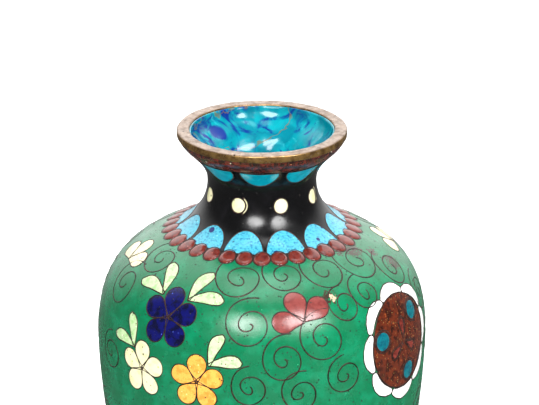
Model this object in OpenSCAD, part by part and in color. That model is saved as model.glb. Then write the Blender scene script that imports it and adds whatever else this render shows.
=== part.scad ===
// Cloisonne vase: a copper vessel with brass mouth and foot rings, covered by
// enamel fields that thin metal wires keep apart.
// The vase stands on z = 0, its axis is the Z axis and its front faces -Y.
// Angles around the vase start at the front and grow towards +X.

/* [Vessel] */
// Height of the whole vase
height = 150; // [140:1:180]
// Outer diameter of the mouth ring
mouth_d = 37.4; // [34:0.1:45]
// Diameter of the narrowest part of the neck
neck_d = 24; // [20:0.1:29]
// Drop from the mouth to the narrowest part of the neck
neck_drop = 12; // [10:0.1:14]
// Widest diameter of the body
body_d = 72.6; // [60:0.1:88]
// Drop from the mouth to the widest part of the body
body_drop = 46.5; // [40:0.1:55]
// Diameter of the bead ring where the neck meets the shoulder
shoulder_d = 40.4; // [36:0.1:46]
// Drop from the mouth to the bead ring
shoulder_drop = 23.2; // [21:0.1:26]
// Diameter of the narrow waist above the foot
waist_d = 36; // [30:0.1:43]
// Height of the waist above the table
waist_h = 12; // [10:0.1:15]
// Outer diameter of the foot ring
foot_d = 43; // [38:0.1:50]

/* [Walls] */
// Thickness of the enamel
enamel_t = 0.9; // [0.7:0.05:1.1]
// Thickness of the copper
copper_t = 1; // [0.8:0.05:1.3]
// Thickness of the enamel that lines the inside
lining_t = 0.5; // [0.4:0.05:0.7]
// Width of the wires between the enamel fields
wire_w = 0.3; // [0.2:0.01:0.34]
// Depth of the small enamel inlays and their wires
inlay_t = 0.5; // [0.35:0.05:0.55]
// Height of the brass mouth ring
mouth_ring_h = 1.8; // [1.4:0.1:2.4]
// Radial width of the brass mouth ring
mouth_ring_w = 2.8; // [2.6:0.1:3.4]
// Height of the brass foot ring
foot_ring_h = 2.2; // [1.6:0.1:3]
// Radial width of the brass foot ring
foot_ring_w = 3.2; // [2.6:0.1:4]
// Height of the underside of the base above the table
base_h = 6; // [5:0.1:8]

/* [Borders] */
// Width of the red band under the mouth, along the surface
collar_band_w = 4; // [3:0.1:5]
// Number of turquoise lappets that hang from the red band
collar_lappets = 9; // [7:1:11]
// Length of a turquoise lappet
collar_lappet_l = 4.4; // [3.5:0.1:5]
// Number of cream dots around the neck
neck_dots = 8; // [6:1:9]
// Diameter of a cream dot
neck_dot_d = 3.2; // [2.6:0.1:3.6]
// Number of light-blue lappets that stand on the shoulder beads
shoulder_lappets = 12; // [9:1:13]
// Length of a light-blue lappet
lappet_l = 4.8; // [4:0.1:5.4]
// Diameter of a red bead
bead_d = 3.2; // [2.6:0.1:3.6]
// Height of the red band above the foot
foot_band_h = 24; // [22:0.5:30]
// Number of light-blue lappets around the foot
foot_lappets = 11; // [8:1:12]
// Width of the red band above the foot ring, along the surface
foot_edge_w = 2; // [1.5:0.1:3]

/* [Sprays and medallions] */
// Distance from the middle of a flower to the middle of each petal's round end
flower_r = 4.5; // [4.2:0.1:4.8]
// Radius of the round end of a petal
petal_r = 2.2; // [2:0.05:2.3]
// Length of a leaf from its tip to the middle of its round end
leaf_l = 5.6; // [4.6:0.1:6.2]
// Radius of the round end of a leaf
leaf_r = 1.5; // [1.2:0.1:1.8]
// Radius of a medallion's brown disc
medallion_r = 10.3; // [9:0.1:11]
// Width of the white petals around a medallion's disc
medallion_petal_w = 3; // [2.4:0.1:3.4]
// Number of white petals around a medallion
medallion_petals = 8; // [7:1:9]
// Radius of a medallion's teal dots
medallion_dot_r = 2.1; // [1.6:0.1:2.4]
// Outer radius of a wire scroll
scroll_r = 4.4; // [3.8:0.1:4.6]

/* [Hidden] */
$fn = 64;

// Outline of the vessel: five Bezier curves from under the mouth ring to the foot ring.
curve_steps = 6;
mouth_overhang = 0.3;
shoulder_slope = 22;
collar_slope = 62;
foot_slope = 70;
neck_h = height - neck_drop;
shoulder_h = height - shoulder_drop;
body_h = height - body_drop;
collar_point = [mouth_d / 2 - mouth_overhang, height - mouth_ring_h];
neck_point = [neck_d / 2, neck_h];
shoulder_point = [shoulder_d / 2, shoulder_h];
body_point = [body_d / 2, body_h];
waist_point = [waist_d / 2, waist_h];
foot_point = [foot_d / 2 - mouth_overhang, foot_ring_h];
shoulder_way = [cos(shoulder_slope), -sin(shoulder_slope)];
collar_way = [cos(collar_slope), sin(collar_slope)];
foot_way = [cos(foot_slope), -sin(foot_slope)];
neck_reach = neck_drop - mouth_ring_h;
shoulder_rise = neck_h - shoulder_h;
shoulder_run = body_d / 2 - shoulder_d / 2;
shoulder_fall = shoulder_h - body_h;
body_fall = body_h - waist_h;
waist_fall = waist_h - foot_ring_h;

function bezier(a, b, c, d, t) =
    a * pow(1 - t, 3) + 3 * b * t * pow(1 - t, 2) + 3 * c * t * t * (1 - t) + d * pow(t, 3);
function curve(a, b, c, d) = [for (i = [0:curve_steps - 1]) bezier(a, b, c, d, i / curve_steps)];

OUTLINE = concat(
    curve(
        collar_point,
        collar_point - collar_way * neck_reach * 0.39,
        neck_point + [0, neck_reach * 0.49],
        neck_point
    ),
    curve(
        neck_point,
        neck_point - [0, shoulder_rise * 0.53],
        shoulder_point - shoulder_way * shoulder_rise * 0.36,
        shoulder_point
    ),
    curve(
        shoulder_point,
        shoulder_point + shoulder_way * shoulder_run * 0.65,
        body_point + [0, shoulder_fall * 0.61],
        body_point
    ),
    curve(
        body_point,
        body_point - [0, body_fall * 0.41],
        waist_point + [0, body_fall * 0.31],
        waist_point
    ),
    curve(
        waist_point,
        waist_point - [0, waist_fall * 0.5],
        foot_point - foot_way * waist_fall * 0.3,
        foot_point
    ),
    [foot_point]
);
last = len(OUTLINE) - 1;
// The walls end level at the mouth and the foot, so the first and last normals are level too.
NORMALS = concat(
    [[1, 0]],
    [
        for (i = [1:last - 1])
            let(way = OUTLINE[i + 1] - OUTLINE[i - 1])
            [-way[1], way[0]] / norm(way)
    ],
    [[1, 0]]
);
R_AT = [for (i = [0:last]) [OUTLINE[i][1], OUTLINE[i][0]]];
NORMAL_R_AT = [for (i = [0:last]) [OUTLINE[i][1], NORMALS[i][0]]];
NORMAL_Z_AT = [for (i = [0:last]) [OUTLINE[i][1], NORMALS[i][1]]];

// Point of the vessel wall at height z on the outer surface, moved in by a depth.
function wall_point(z, depth) = [
    lookup(z, R_AT) - depth * lookup(z, NORMAL_R_AT),
    z - depth * lookup(z, NORMAL_Z_AT)
];
// Steepness of the surface at height z: 0 where it is upright, positive where it faces up.
function tilt(z) = atan2(lookup(z, NORMAL_Z_AT), lookup(z, NORMAL_R_AT));
// Length of the outline from the mouth down to each of its points.
LENGTHS = [
    for (i = 0, sum = 0; i <= last; i = i + 1, sum = sum + norm(OUTLINE[min(i, last)] - OUTLINE[i - 1]))
        sum
];
LENGTH_AT = [for (i = [0:last]) [OUTLINE[i][1], LENGTHS[i]]];
HEIGHT_AT = [for (i = [0:last]) [LENGTHS[i], OUTLINE[i][1]]];
// Height that is reached from z by going down the surface by a distance.
function down(z, distance) = lookup(lookup(z, LENGTH_AT) + distance, HEIGHT_AT);
// Radius of the wall at its true height z, at a depth under the outer surface.
function radius_at(z, depth) = lookup(z, [
    for (p = OUTLINE) let(q = wall_point(p[1], depth)) [q[1], q[0]]
]);
function wall_heights(top, bottom) =
    concat([top], [for (p = OUTLINE) if (p[1] < top - 0.01 && p[1] > bottom + 0.01) p[1]], [bottom]);

// Heights of the borders and of the seams in the copper.
bead_band_w = bead_d / 2 + wire_w + 0.1;
foot_band_w = 2.4;
collar_top = height - mouth_ring_h;
collar_band_bottom = down(collar_top, collar_band_w);
neck_top = down(collar_band_bottom, wire_w);
shoulder_band_top = down(shoulder_h, -bead_band_w);
shoulder_band_bottom = down(shoulder_h, bead_band_w);
foot_band_top = down(foot_band_h, -foot_band_w / 2);
foot_band_bottom = down(foot_band_h, foot_band_w / 2);
body_bottom = down(foot_band_top, -wire_w);
foot_top = down(foot_band_bottom, wire_w);
foot_edge_top = foot_ring_h + foot_edge_w;
foot_bottom = foot_edge_top + wire_w;
neck_dots_h = neck_h - 2.1;
medallion_h = body_h + 3.7;
copper_depth = enamel_t + copper_t;
lining_depth = copper_depth + lining_t;
neck_seam_h = shoulder_h - 3;
foot_seam_h = waist_h + 4;
floor_h = base_h + copper_t;
plate_gap = 0.1;

// One face of the body holds this much decoration, and the other face repeats it.
FACES = [0, 180];
// Each flower: angle, drop below the mouth, size, number of petals, angle of the first petal.
BLUE_FLOWERS = [[-37, 34, 1, 5, 90], [24, 78, 0.9, 5, 90]];
CREAM_FLOWERS = [[-46, 46.6, 0.9, 5, 90], [-80, 28.5, 0.9, 3, 20]];
YELLOW_FLOWERS = [[-23, 46.6, 0.9, 5, 90]];
RED_FLOWERS = [[16, 33, 1, 3, 36], [-52, 80, 0.9, 5, 90]];
// Each pair of leaves: angle and drop of the flower that it grows from, size and side.
LEAF_PAIRS = [
    [-37, 34, 1, -1], [-37, 34, 1, 1], [-46, 46.6, 0.9, -1], [-23, 46.6, 0.9, 1],
    [24, 78, 0.9, -1], [-52, 80, 0.9, 1]
];
medallion_angle = 59;
// Each scroll: angle, drop below the mouth, size.
SCROLLS = [
    [-61.5, 27, 0.75], [-11.5, 27.2, 0.7], [32, 27.4, 0.85],
    [74, 28.8, 0.85], [-67, 32.6, 0.8], [-3.5, 33.6, 0.8], [34, 33.6, 0.8],
    [22, 37, 0.95], [8, 40.5, 0.8], [30, 45.5, 0.8], [-65, 49.5, 0.9], [-70, 41, 0.85],
    [-7, 46.5, 0.85], [12, 46.5, 0.7], [84, 47, 0.8]
];
scroll_row_drops = [64, 80, 96, 111];
scroll_row_sizes = [1, 1, 1, 0.85];

// Distance over the surface between two places that are given as angle and drop.
function turn_between(a, b) = abs((a - b + 540) % 360 - 180);
function apart(p, q) =
    let(mean_r = (lookup(height - p[1], R_AT) + lookup(height - q[1], R_AT)) / 2)
    norm([turn_between(p[0], q[0]) * PI / 180 * mean_r, p[1] - q[1]]);
FLOWERS = concat(BLUE_FLOWERS, CREAM_FLOWERS, YELLOW_FLOWERS, RED_FLOWERS);
flower_reach = flower_r + petal_r;
medallion_reach = medallion_r + medallion_petal_w;
petal_middle = (flower_r + petal_r + 0.9) / 2;
leaf_gap = 1.1;
leaf_root = [3.2, 4.7];
leaf_angles = [14, 76];
function clear_of_flowers(p, reach) = min([
    for (face = FACES, f = FLOWERS) apart(p, [f[0] + face, f[1]]) - f[2] * flower_reach
]) > reach + 0.4;
function clear_of_leaves(p, reach) = min([
    for (face = FACES, f = LEAF_PAIRS) apart(p, [f[0] + face + f[3] * 11, f[1] - 7]) - f[2] * 5
]) > reach;
function clear_of_medallions(p, reach) = min([
    for (face = FACES) apart(p, [medallion_angle + face, height - medallion_h]) - medallion_reach
]) > reach + 0.5;
// Rows of scrolls fill the lower body wherever nothing else is in their way.
ROW_SCROLLS = [
    for (row = [0:len(scroll_row_drops) - 1])
        let(
            drop = scroll_row_drops[row],
            size = scroll_row_sizes[row],
            reach = scroll_r * size,
            count = floor(2 * PI * lookup(height - drop, R_AT) / (2 * reach + 6) / 2) * 2
        )
        for (i = [0:count - 1])
            let(p = [(i + (row % 2) / 2) * 360 / count, drop])
            if (
                clear_of_flowers(p, reach) && clear_of_leaves(p, reach)
                && clear_of_medallions(p, reach)
            )
                [p[0], drop, size]
];

// Stands a flat shape on the surface at an angle and height: its Y axis points up the wall.
module on_wall(angle, z) {
    rotate([0, 0, angle])
        translate([0, -wall_point(z, 0)[0], z])
            rotate([90 - tilt(z), 0, 0])
                children();
}

// The same, moved sideways and up over the surface from the place that is given.
module near(angle, z, offset) {
    spot_z = down(z, -offset[1]);
    on_wall(angle + offset[0] / wall_point(spot_z, 0)[0] * 180 / PI, spot_z)
        children();
}

// Repeats a shape evenly around the vessel at one height.
module around(count, z, first) {
    for (i = [0:count - 1])
        on_wall(first + i * 360 / count, z)
            children();
}

// A flat inlay, from its depth in the enamel to a height over the surface.
module inlay(over) {
    translate([0, 0, -inlay_t])
        linear_extrude(inlay_t + over)
            children();
}

// The solids that one shape gives: the enamel cell, its wire or the pocket for both.
wire_over = 0.05;
pocket_over = 1.5;
module cell_or_wire(kind) {
    if (kind == "cell")
        inlay(0) children(0);
    if (kind == "wire")
        inlay(wire_over)
            difference() {
                children(1);
                children(0);
            }
    if (kind == "pocket")
        inlay(pocket_over) children(1);
}

// A layer of the vessel wall between two heights and two depths.
module wall_layer(top, bottom, outside, inside) {
    heights = wall_heights(top, bottom);
    steps = len(heights) - 1;
    rotate_extrude()
        polygon(concat(
            [for (z = heights) wall_point(z, outside)],
            [for (i = [steps:-1:0]) wall_point(heights[i], inside)]
        ));
}

module enamel_layer(top, bottom) {
    wall_layer(top, bottom, 0, enamel_t);
}

module neck_layer() {
    enamel_layer(neck_top, shoulder_band_top);
}

module body_layer() {
    enamel_layer(shoulder_band_bottom, body_bottom);
}

module foot_layer() {
    enamel_layer(foot_top, foot_bottom);
}

// Flat shapes. grow is the width of the wire that surrounds them.

// A drop with its tip at the origin and its round end up the Y axis.
module drop_shape(round_r, reach, grow) {
    outer_r = round_r + grow;
    half_angle = asin(round_r / reach);
    side = [outer_r * cos(half_angle), reach - outer_r * sin(half_angle)];
    translate([0, reach])
        circle(outer_r);
    polygon([
        [0, -reach * grow / round_r],
        side,
        [0, reach],
        [-side[0], side[1]]
    ]);
}

// A petal around the middle of its length.
module petal_shape(size, grow) {
    gap = 0.9 * size;
    translate([0, gap - petal_middle * size])
        drop_shape(petal_r * size, flower_r * size - gap, grow);
}

// A comma around its middle: a pointed tail, and a round head that bends to one side, 1 or -1.
leaf_steps = 9;
module leaf_shape(size, side, grow) {
    low = -leaf_l / 2 * size - grow;
    rise = (leaf_l + leaf_r) * size + 2 * grow;
    shares = [for (i = [0:leaf_steps]) i / leaf_steps];
    middles = [for (t = shares) [side * size * (2.2 * t * t - 1.3 * t), low + rise * t]];
    halves = [for (t = shares) (leaf_r * size + grow) * sqrt(max(0, sin(180 * pow(t, 1.6))))];
    polygon(concat(
        [for (i = [0:leaf_steps - 1]) middles[i] + [halves[i], 0]],
        [for (i = [leaf_steps:-1:1]) middles[i] - [halves[i], 0]]
    ));
}

// Half an oval around the middle of its length, with its straight side down.
lappet_steps = 10;
module lappet_shape(width, length, grow) {
    polygon([
        for (i = [0:lappet_steps])
            let(turn = 180 * i / lappet_steps)
            [(width / 2 + grow) * cos(turn), (length + 2 * grow) * sin(turn) - length / 2 - grow]
    ]);
}

// A wire scroll: a strip that winds inwards by a turn and three quarters.
scroll_steps = 11;
scroll_start = 145;
scroll_sweep = 640;
function scroll_point(i) =
    let(t = i / scroll_steps, angle = scroll_start + scroll_sweep * t)
    (1 - 0.84 * t) * [cos(angle), sin(angle)];
module scroll_shape(size) {
    points = [for (i = [0:scroll_steps]) scroll_point(i) * scroll_r * size];
    sides = [
        for (i = [0:scroll_steps])
            let(way = points[min(i + 1, scroll_steps)] - points[max(i - 1, 0)])
            [-way[1], way[0]] / norm(way) * wire_w / 2
    ];
    polygon(concat(
        points + sides,
        [for (i = [scroll_steps:-1:0]) points[i] - sides[i]]
    ));
}

// Decoration of the body. kind is "cell", "wire" or "pocket".
module at_flowers(list, kind) {
    for (face = FACES, f = list, k = [0:f[3] - 1]) {
        turn = f[4] + 72 * k;
        near(f[0] + face, height - f[1], petal_middle * f[2] * [cos(turn), sin(turn)])
            rotate([0, 0, turn - 90])
                cell_or_wire(kind) {
                    petal_shape(f[2], 0);
                    petal_shape(f[2], wire_w);
                }
    }
}

// Leaves, scrolls and lappets lie on their ground, each cut to a thin layer over the surface.
raised_over = 0.15;
raised_depth = 1;
module raised(top, bottom) {
    intersection() {
        wall_layer(top, bottom, -raised_over, 0);
        children();
    }
}

module raised_strip() {
    translate([0, 0, -raised_depth])
        linear_extrude(2 * raised_depth)
            children();
}

// The outline of a cell, or of the wire around it.
module flat_ring() {
    difference() {
        children(0);
        children(1);
    }
}

module at_leaves(kind) {
    for (face = FACES, f = LEAF_PAIRS, leaf_angle = leaf_angles) {
        turn = 90 - f[3] * leaf_angle;
        middle = leaf_l * 0.5 + leaf_gap;
        root = [f[3] * leaf_root[0], leaf_root[1]];
        near(f[0] + face, height - f[1], f[2] * (root + middle * [cos(turn), sin(turn)]))
            rotate([0, 0, turn - 90])
                raised_strip()
                    if (kind == "wire")
                        flat_ring() {
                            leaf_shape(f[2], f[3], wire_w);
                            leaf_shape(f[2], f[3], 0);
                        }
                    else
                        leaf_shape(f[2], f[3], 0);
    }
}

module at_scrolls() {
    for (face = FACES, s = SCROLLS)
        on_wall(s[0] + face, height - s[1])
            raised_strip() scroll_shape(s[2]);
    for (s = ROW_SCROLLS)
        on_wall(s[0], height - s[1])
            raised_strip() scroll_shape(s[2]);
}

// Copper vessel, brass rings and the enamel that lines the inside.
module copper_neck() {
    color("peru") wall_layer(collar_top, neck_seam_h, enamel_t, copper_depth);
}

module copper_upper_body() {
    color("peru") wall_layer(neck_seam_h, body_h, enamel_t, copper_depth);
}

module copper_lower_body() {
    color("peru") wall_layer(body_h, foot_seam_h, enamel_t, copper_depth);
}

module copper_foot() {
    color("peru") wall_layer(foot_seam_h, foot_ring_h, enamel_t, copper_depth);
}

module copper_base_plate() {
    color("peru")
        translate([0, 0, base_h])
            cylinder(r = radius_at(floor_h, copper_depth) - plate_gap, h = copper_t);
}

module brass_mouth_ring() {
    color("darkgoldenrod")
        translate([0, 0, collar_top])
            difference() {
                cylinder(d = mouth_d, h = mouth_ring_h);
                translate([0, 0, -1])
                    cylinder(r = mouth_d / 2 - mouth_ring_w, h = mouth_ring_h + 2);
            }
}

module brass_foot_ring() {
    color("darkgoldenrod")
        difference() {
            cylinder(d = foot_d, h = foot_ring_h);
            translate([0, 0, -1])
                cylinder(r = foot_d / 2 - foot_ring_w, h = foot_ring_h + 2);
        }
}

module interior_lining() {
    floor_top = floor_h + lining_t;
    outside = [for (z = wall_heights(collar_top, floor_h)) wall_point(z, copper_depth)];
    inside = [for (z = wall_heights(collar_top, floor_h)) wall_point(z, lining_depth)];
    steps = len(inside) - 1;
    color("darkturquoise")
        rotate_extrude()
            polygon(concat(
                [for (p = outside) if (p[1] > floor_h + 0.1) p],
                [
                    [radius_at(floor_h, copper_depth), floor_h],
                    [0, floor_h],
                    [0, floor_top],
                    [radius_at(floor_top, lining_depth), floor_top]
                ],
                [for (i = [steps:-1:0]) if (inside[i][1] > floor_top + 0.1) inside[i]]
            ));
}

module base_counter_enamel() {
    color("darkturquoise")
        translate([0, 0, base_h - lining_t])
            cylinder(r = radius_at(floor_h, copper_depth) - plate_gap, h = lining_t);
}

// Enamel and wires of the collar and the neck.
module lappet_row(kind, count, first, middle_h, width, length, turn) {
    around(count, middle_h, first)
        rotate([0, 0, turn])
            raised_strip()
                if (kind == "wire")
                    flat_ring() {
                        lappet_shape(width, length, wire_w);
                        lappet_shape(width, length, 0);
                    }
                else
                    lappet_shape(width, length, 0);
}

module at_collar_lappets(kind) {
    middle_h = down(neck_top, collar_lappet_l / 2 + wire_w + 0.3);
    width = 2 * PI * wall_point(middle_h, 0)[0] / collar_lappets - 2 * wire_w - 0.4;
    raised(neck_top, shoulder_band_top)
        lappet_row(kind, collar_lappets, -2, middle_h, width, collar_lappet_l, 180);
}

module at_neck_dots(kind) {
    around(neck_dots, neck_dots_h, 20)
        cell_or_wire(kind) {
            circle(neck_dot_d / 2);
            circle(neck_dot_d / 2 + wire_w);
        }
}

module at_shoulder_lappets(kind) {
    middle_h = down(shoulder_h, -bead_band_w - 0.5 - lappet_l / 2);
    width = 2 * PI * wall_point(middle_h, 0)[0] / shoulder_lappets;
    raised(neck_top, shoulder_band_top)
        lappet_row(kind, shoulder_lappets, 17, middle_h, width, lappet_l, 0);
}

// Enough beads that the wires of neighbours almost meet where they are closest, at their inner ends.
bead_gap = 0.005;
module at_beads(kind) {
    count = floor(2 * PI * wall_point(shoulder_h, inlay_t)[0] / (bead_d + 2 * wire_w + bead_gap));
    around(count, shoulder_h, 0)
        cell_or_wire(kind) {
            circle(bead_d / 2);
            circle(bead_d / 2 + wire_w);
        }
}

module collar_band_red() {
    color("maroon") enamel_layer(collar_top, collar_band_bottom);
}

module collar_lappets_turquoise() {
    color("darkcyan") at_collar_lappets("cell");
}

module wires_collar_lappets() {
    color("saddlebrown") at_collar_lappets("wire");
}

module neck_ground_black() {
    color("black")
        difference() {
            neck_layer();
            at_neck_dots("pocket");
        }
}

module neck_dots_cream() {
    color("palegoldenrod") at_neck_dots("cell");
}

module wires_neck_dots() {
    color("saddlebrown") at_neck_dots("wire");
}

module shoulder_lappets_blue() {
    color("skyblue") at_shoulder_lappets("cell");
}

module wires_shoulder_lappets() {
    color("saddlebrown") at_shoulder_lappets("wire");
}

module shoulder_beads_red() {
    color("brown") at_beads("cell");
}

module wires_shoulder_beads() {
    color("saddlebrown") at_beads("wire");
}

module shoulder_band_red() {
    color("firebrick")
        difference() {
            enamel_layer(shoulder_band_top, shoulder_band_bottom);
            at_beads("pocket");
        }
}

// Enamel and wires of the body.
module flower_petals_blue() {
    color("midnightblue") at_flowers(BLUE_FLOWERS, "cell");
}

module flower_petals_cream() {
    color("cornsilk") at_flowers(CREAM_FLOWERS, "cell");
}

module flower_petals_yellow() {
    color("orange") at_flowers(YELLOW_FLOWERS, "cell");
}

module flower_petals_red() {
    color("indianred") at_flowers(RED_FLOWERS, "cell");
}

module wires_flowers() {
    color("saddlebrown") at_flowers(FLOWERS, "wire");
}

module leaves_pale_green() {
    color("palegreen")
        raised(shoulder_band_bottom, body_bottom) at_leaves("cell");
}

module wires_leaves() {
    color("saddlebrown")
        raised(shoulder_band_bottom, body_bottom) at_leaves("wire");
}

// A medallion's disc follows the curve of the wall, and its small parts are inlays.
disc_steps = 24;
function disc_points(r) = [
    for (i = [0:disc_steps - 1])
        let(angle = i * 360 / disc_steps)
        r * [cos(angle), sin(angle)]
];

module medallion_prisms() {
    for (face = FACES)
        on_wall(medallion_angle + face, medallion_h)
            translate([0, 0, -4])
                linear_extrude(5)
                    children();
}

// One white petal in polar form around the medallion, moved to its own middle.
lobe_r = medallion_reach * 0.375;
lobe_at = medallion_reach - lobe_r;
lobe_middle = (medallion_r + medallion_reach) / 2;
function lobe_edge(a) = lobe_at * cos(a) + sqrt(lobe_r * lobe_r - pow(lobe_at * sin(a), 2));
module lobe_shape(grow) {
    inner_r = medallion_r + 3 * wire_w - grow;
    half = 180 / medallion_petals;
    gap = (2 * wire_w - grow) / medallion_reach * 180 / PI;
    turns = [-1, -0.6, -0.2, 0.2, 0.6, 1] * (half - gap);
    polygon(concat(
        [for (a = turns) (lobe_edge(a) - wire_w + grow) * [sin(a), cos(a)] - [0, lobe_middle]],
        [for (i = [5:-1:0]) inner_r * [sin(turns[i]), cos(turns[i])] - [0, lobe_middle]]
    ));
}

module at_lobes(kind) {
    for (face = FACES, k = [0:medallion_petals - 1]) {
        turn = 90 + k * 360 / medallion_petals;
        near(medallion_angle + face, medallion_h, lobe_middle * [cos(turn), sin(turn)])
            rotate([0, 0, turn - 90])
                cell_or_wire(kind) {
                    lobe_shape(0);
                    lobe_shape(wire_w);
                }
    }
}

module at_medallion_dots(kind) {
    for (face = FACES, k = [0:2]) {
        turn = 165 + k * 120;
        reach = medallion_r - medallion_dot_r - 2 * wire_w;
        near(medallion_angle + face, medallion_h, reach * [cos(turn), sin(turn)])
            cell_or_wire(kind) {
                circle(medallion_dot_r);
                circle(medallion_dot_r + wire_w);
            }
    }
}

module at_florets(kind) {
    for (face = FACES, k = [0:2]) {
        turn = 90 + k * 120;
        near(medallion_angle + face, medallion_h, 2.9 * [cos(turn), sin(turn)])
            rotate([0, 0, turn - 90])
                cell_or_wire(kind) {
                    translate([0, -1.5]) drop_shape(0.9, 2.8, 0);
                    translate([0, -1.5]) drop_shape(0.9, 2.8, wire_w);
                }
    }
}

module medallion_discs_brown() {
    color("sienna")
        difference() {
            intersection() {
                body_layer();
                medallion_prisms() polygon(disc_points(medallion_r));
            }
            at_medallion_dots("pocket");
            at_florets("pocket");
        }
}

module medallion_petals_white() {
    color("white") at_lobes("cell");
}

module medallion_dots_teal() {
    color("teal") at_medallion_dots("cell");
}

module medallion_florets_red() {
    color("darkred") at_florets("cell");
}

module wires_medallions() {
    color("saddlebrown") {
        intersection() {
            body_layer();
            medallion_prisms()
                difference() {
                    polygon(disc_points(medallion_r + wire_w));
                    polygon(disc_points(medallion_r));
                }
        }
        at_lobes("wire");
        at_medallion_dots("wire");
        at_florets("wire");
    }
}

module wires_scrolls() {
    color("saddlebrown")
        raised(shoulder_band_bottom, body_bottom) at_scrolls();
}

module body_ground_green() {
    color("mediumseagreen")
        difference() {
            body_layer();
            at_flowers(FLOWERS, "pocket");
            at_lobes("pocket");
            medallion_prisms() polygon(disc_points(medallion_r + wire_w));
        }
}

// Enamel and wires of the foot.
module at_foot_lappets(kind) {
    middle_h = down(foot_top, lappet_l / 2 + wire_w + 0.3);
    width = 2 * PI * wall_point(middle_h, 0)[0] / foot_lappets - 2 * wire_w - 0.4;
    raised(foot_top, foot_bottom)
        lappet_row(kind, foot_lappets, 17, middle_h, width, lappet_l, 180);
}

module foot_band_red() {
    color("firebrick") enamel_layer(foot_band_top, foot_band_bottom);
}

module foot_lappets_blue() {
    color("skyblue") at_foot_lappets("cell");
}

module wires_foot_lappets() {
    color("saddlebrown") at_foot_lappets("wire");
}

module foot_ground_black() {
    color("black") foot_layer();
}

module foot_edge_band_red() {
    color("maroon") enamel_layer(foot_edge_top, foot_ring_h);
}

// Plain wire rings beside the red bands at the mouth and the foot.
module wires_borders() {
    color("saddlebrown") {
        enamel_layer(collar_band_bottom, neck_top);
        enamel_layer(body_bottom, foot_band_top);
        enamel_layer(foot_band_bottom, foot_top);
        enamel_layer(foot_bottom, foot_edge_top);
    }
}

copper_neck();
copper_upper_body();
copper_lower_body();
copper_foot();
copper_base_plate();
brass_mouth_ring();
brass_foot_ring();
interior_lining();
base_counter_enamel();
collar_band_red();
collar_lappets_turquoise();
neck_ground_black();
neck_dots_cream();
shoulder_lappets_blue();
shoulder_band_red();
shoulder_beads_red();
body_ground_green();
flower_petals_blue();
flower_petals_cream();
flower_petals_yellow();
flower_petals_red();
leaves_pale_green();
medallion_discs_brown();
medallion_petals_white();
medallion_dots_teal();
medallion_florets_red();
foot_band_red();
foot_lappets_blue();
foot_ground_black();
foot_edge_band_red();
wires_borders();
wires_collar_lappets();
wires_neck_dots();
wires_shoulder_lappets();
wires_shoulder_beads();
wires_flowers();
wires_leaves();
wires_medallions();
wires_scrolls();
wires_foot_lappets();
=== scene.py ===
"""Looks of a small cloisonne vase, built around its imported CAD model.

The enamel fields, beads, petals and wires are modelled again from the CAD nodes: each cell's outline is
read from its node, laid on one smooth and slightly uneven surface of revolution, and filled with a crowned
patch of enamel or followed by a wire. Lengths are metres. Angles around the vase start at the front (-Y) and
grow towards +X. Places down the surface are arc lengths from the top of the collar.
"""
import math

import bpy
import numpy as np
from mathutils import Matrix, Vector


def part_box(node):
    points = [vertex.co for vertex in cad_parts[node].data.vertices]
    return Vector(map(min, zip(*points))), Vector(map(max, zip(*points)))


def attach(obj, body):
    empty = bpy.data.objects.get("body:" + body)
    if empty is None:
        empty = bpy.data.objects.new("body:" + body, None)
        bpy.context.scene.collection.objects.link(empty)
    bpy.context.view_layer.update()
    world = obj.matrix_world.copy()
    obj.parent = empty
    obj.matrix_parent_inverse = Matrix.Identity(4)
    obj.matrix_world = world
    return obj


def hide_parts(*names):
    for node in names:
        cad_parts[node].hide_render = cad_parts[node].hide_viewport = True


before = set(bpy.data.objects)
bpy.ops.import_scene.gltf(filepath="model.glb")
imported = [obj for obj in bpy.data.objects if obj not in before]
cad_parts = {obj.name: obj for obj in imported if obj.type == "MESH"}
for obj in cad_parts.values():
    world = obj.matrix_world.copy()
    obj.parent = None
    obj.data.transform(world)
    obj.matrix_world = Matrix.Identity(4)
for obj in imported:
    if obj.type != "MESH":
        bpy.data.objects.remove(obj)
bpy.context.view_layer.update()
MM = 0.001
TURN = 2 * np.pi
rng = np.random.default_rng(7)

# Driving dimensions, from the frame.
BODY_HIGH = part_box("body_ground_green")[1]
RIM_LOW, RIM_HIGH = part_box("brass_mouth_ring")
FOOT_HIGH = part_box("brass_foot_ring")[1]
BEADS_LOW, BEADS_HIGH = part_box("shoulder_beads_red")
BASE_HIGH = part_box("copper_base_plate")[1]
HEIGHT = RIM_HIGH[2]
MOUTH_R = RIM_HIGH[0]
FOOT_R = FOOT_HIGH[0]
BODY_R = BODY_HIGH[0]
RING_H = RIM_HIGH[2] - RIM_LOW[2]
FOOT_RING_H = FOOT_HIGH[2]
ENAMEL_T = 0.9 * MM
# Depth of the lining's free face below the outer surface, and its own thickness on the wall and on the floor.
LINING_DEPTH = 2.4 * MM
LINING_T = 0.5 * MM
WIRE_W = 0.27 * MM
THIN_WIRE_W = 0.24 * MM
THICK_WIRE_W = 0.3 * MM
SCROLL_WIRE_W = 0.31 * MM
WIRE_RISE = 0.06 * MM
# How far the enamel stands back from the edge of each ring.
EDGE_GAP = 0.3 * MM
RING_SEGMENTS = 320


# ---------------------------------------------------------------- surface

def bezier(a, b, c, d):
    """Points on a cubic curve, without its last one."""
    t = np.linspace(0, 1, 48, endpoint=False)[:, None]
    return a * (1 - t) ** 3 + 3 * b * t * (1 - t) ** 2 + 3 * c * t * t * (1 - t) + d * t ** 3


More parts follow.
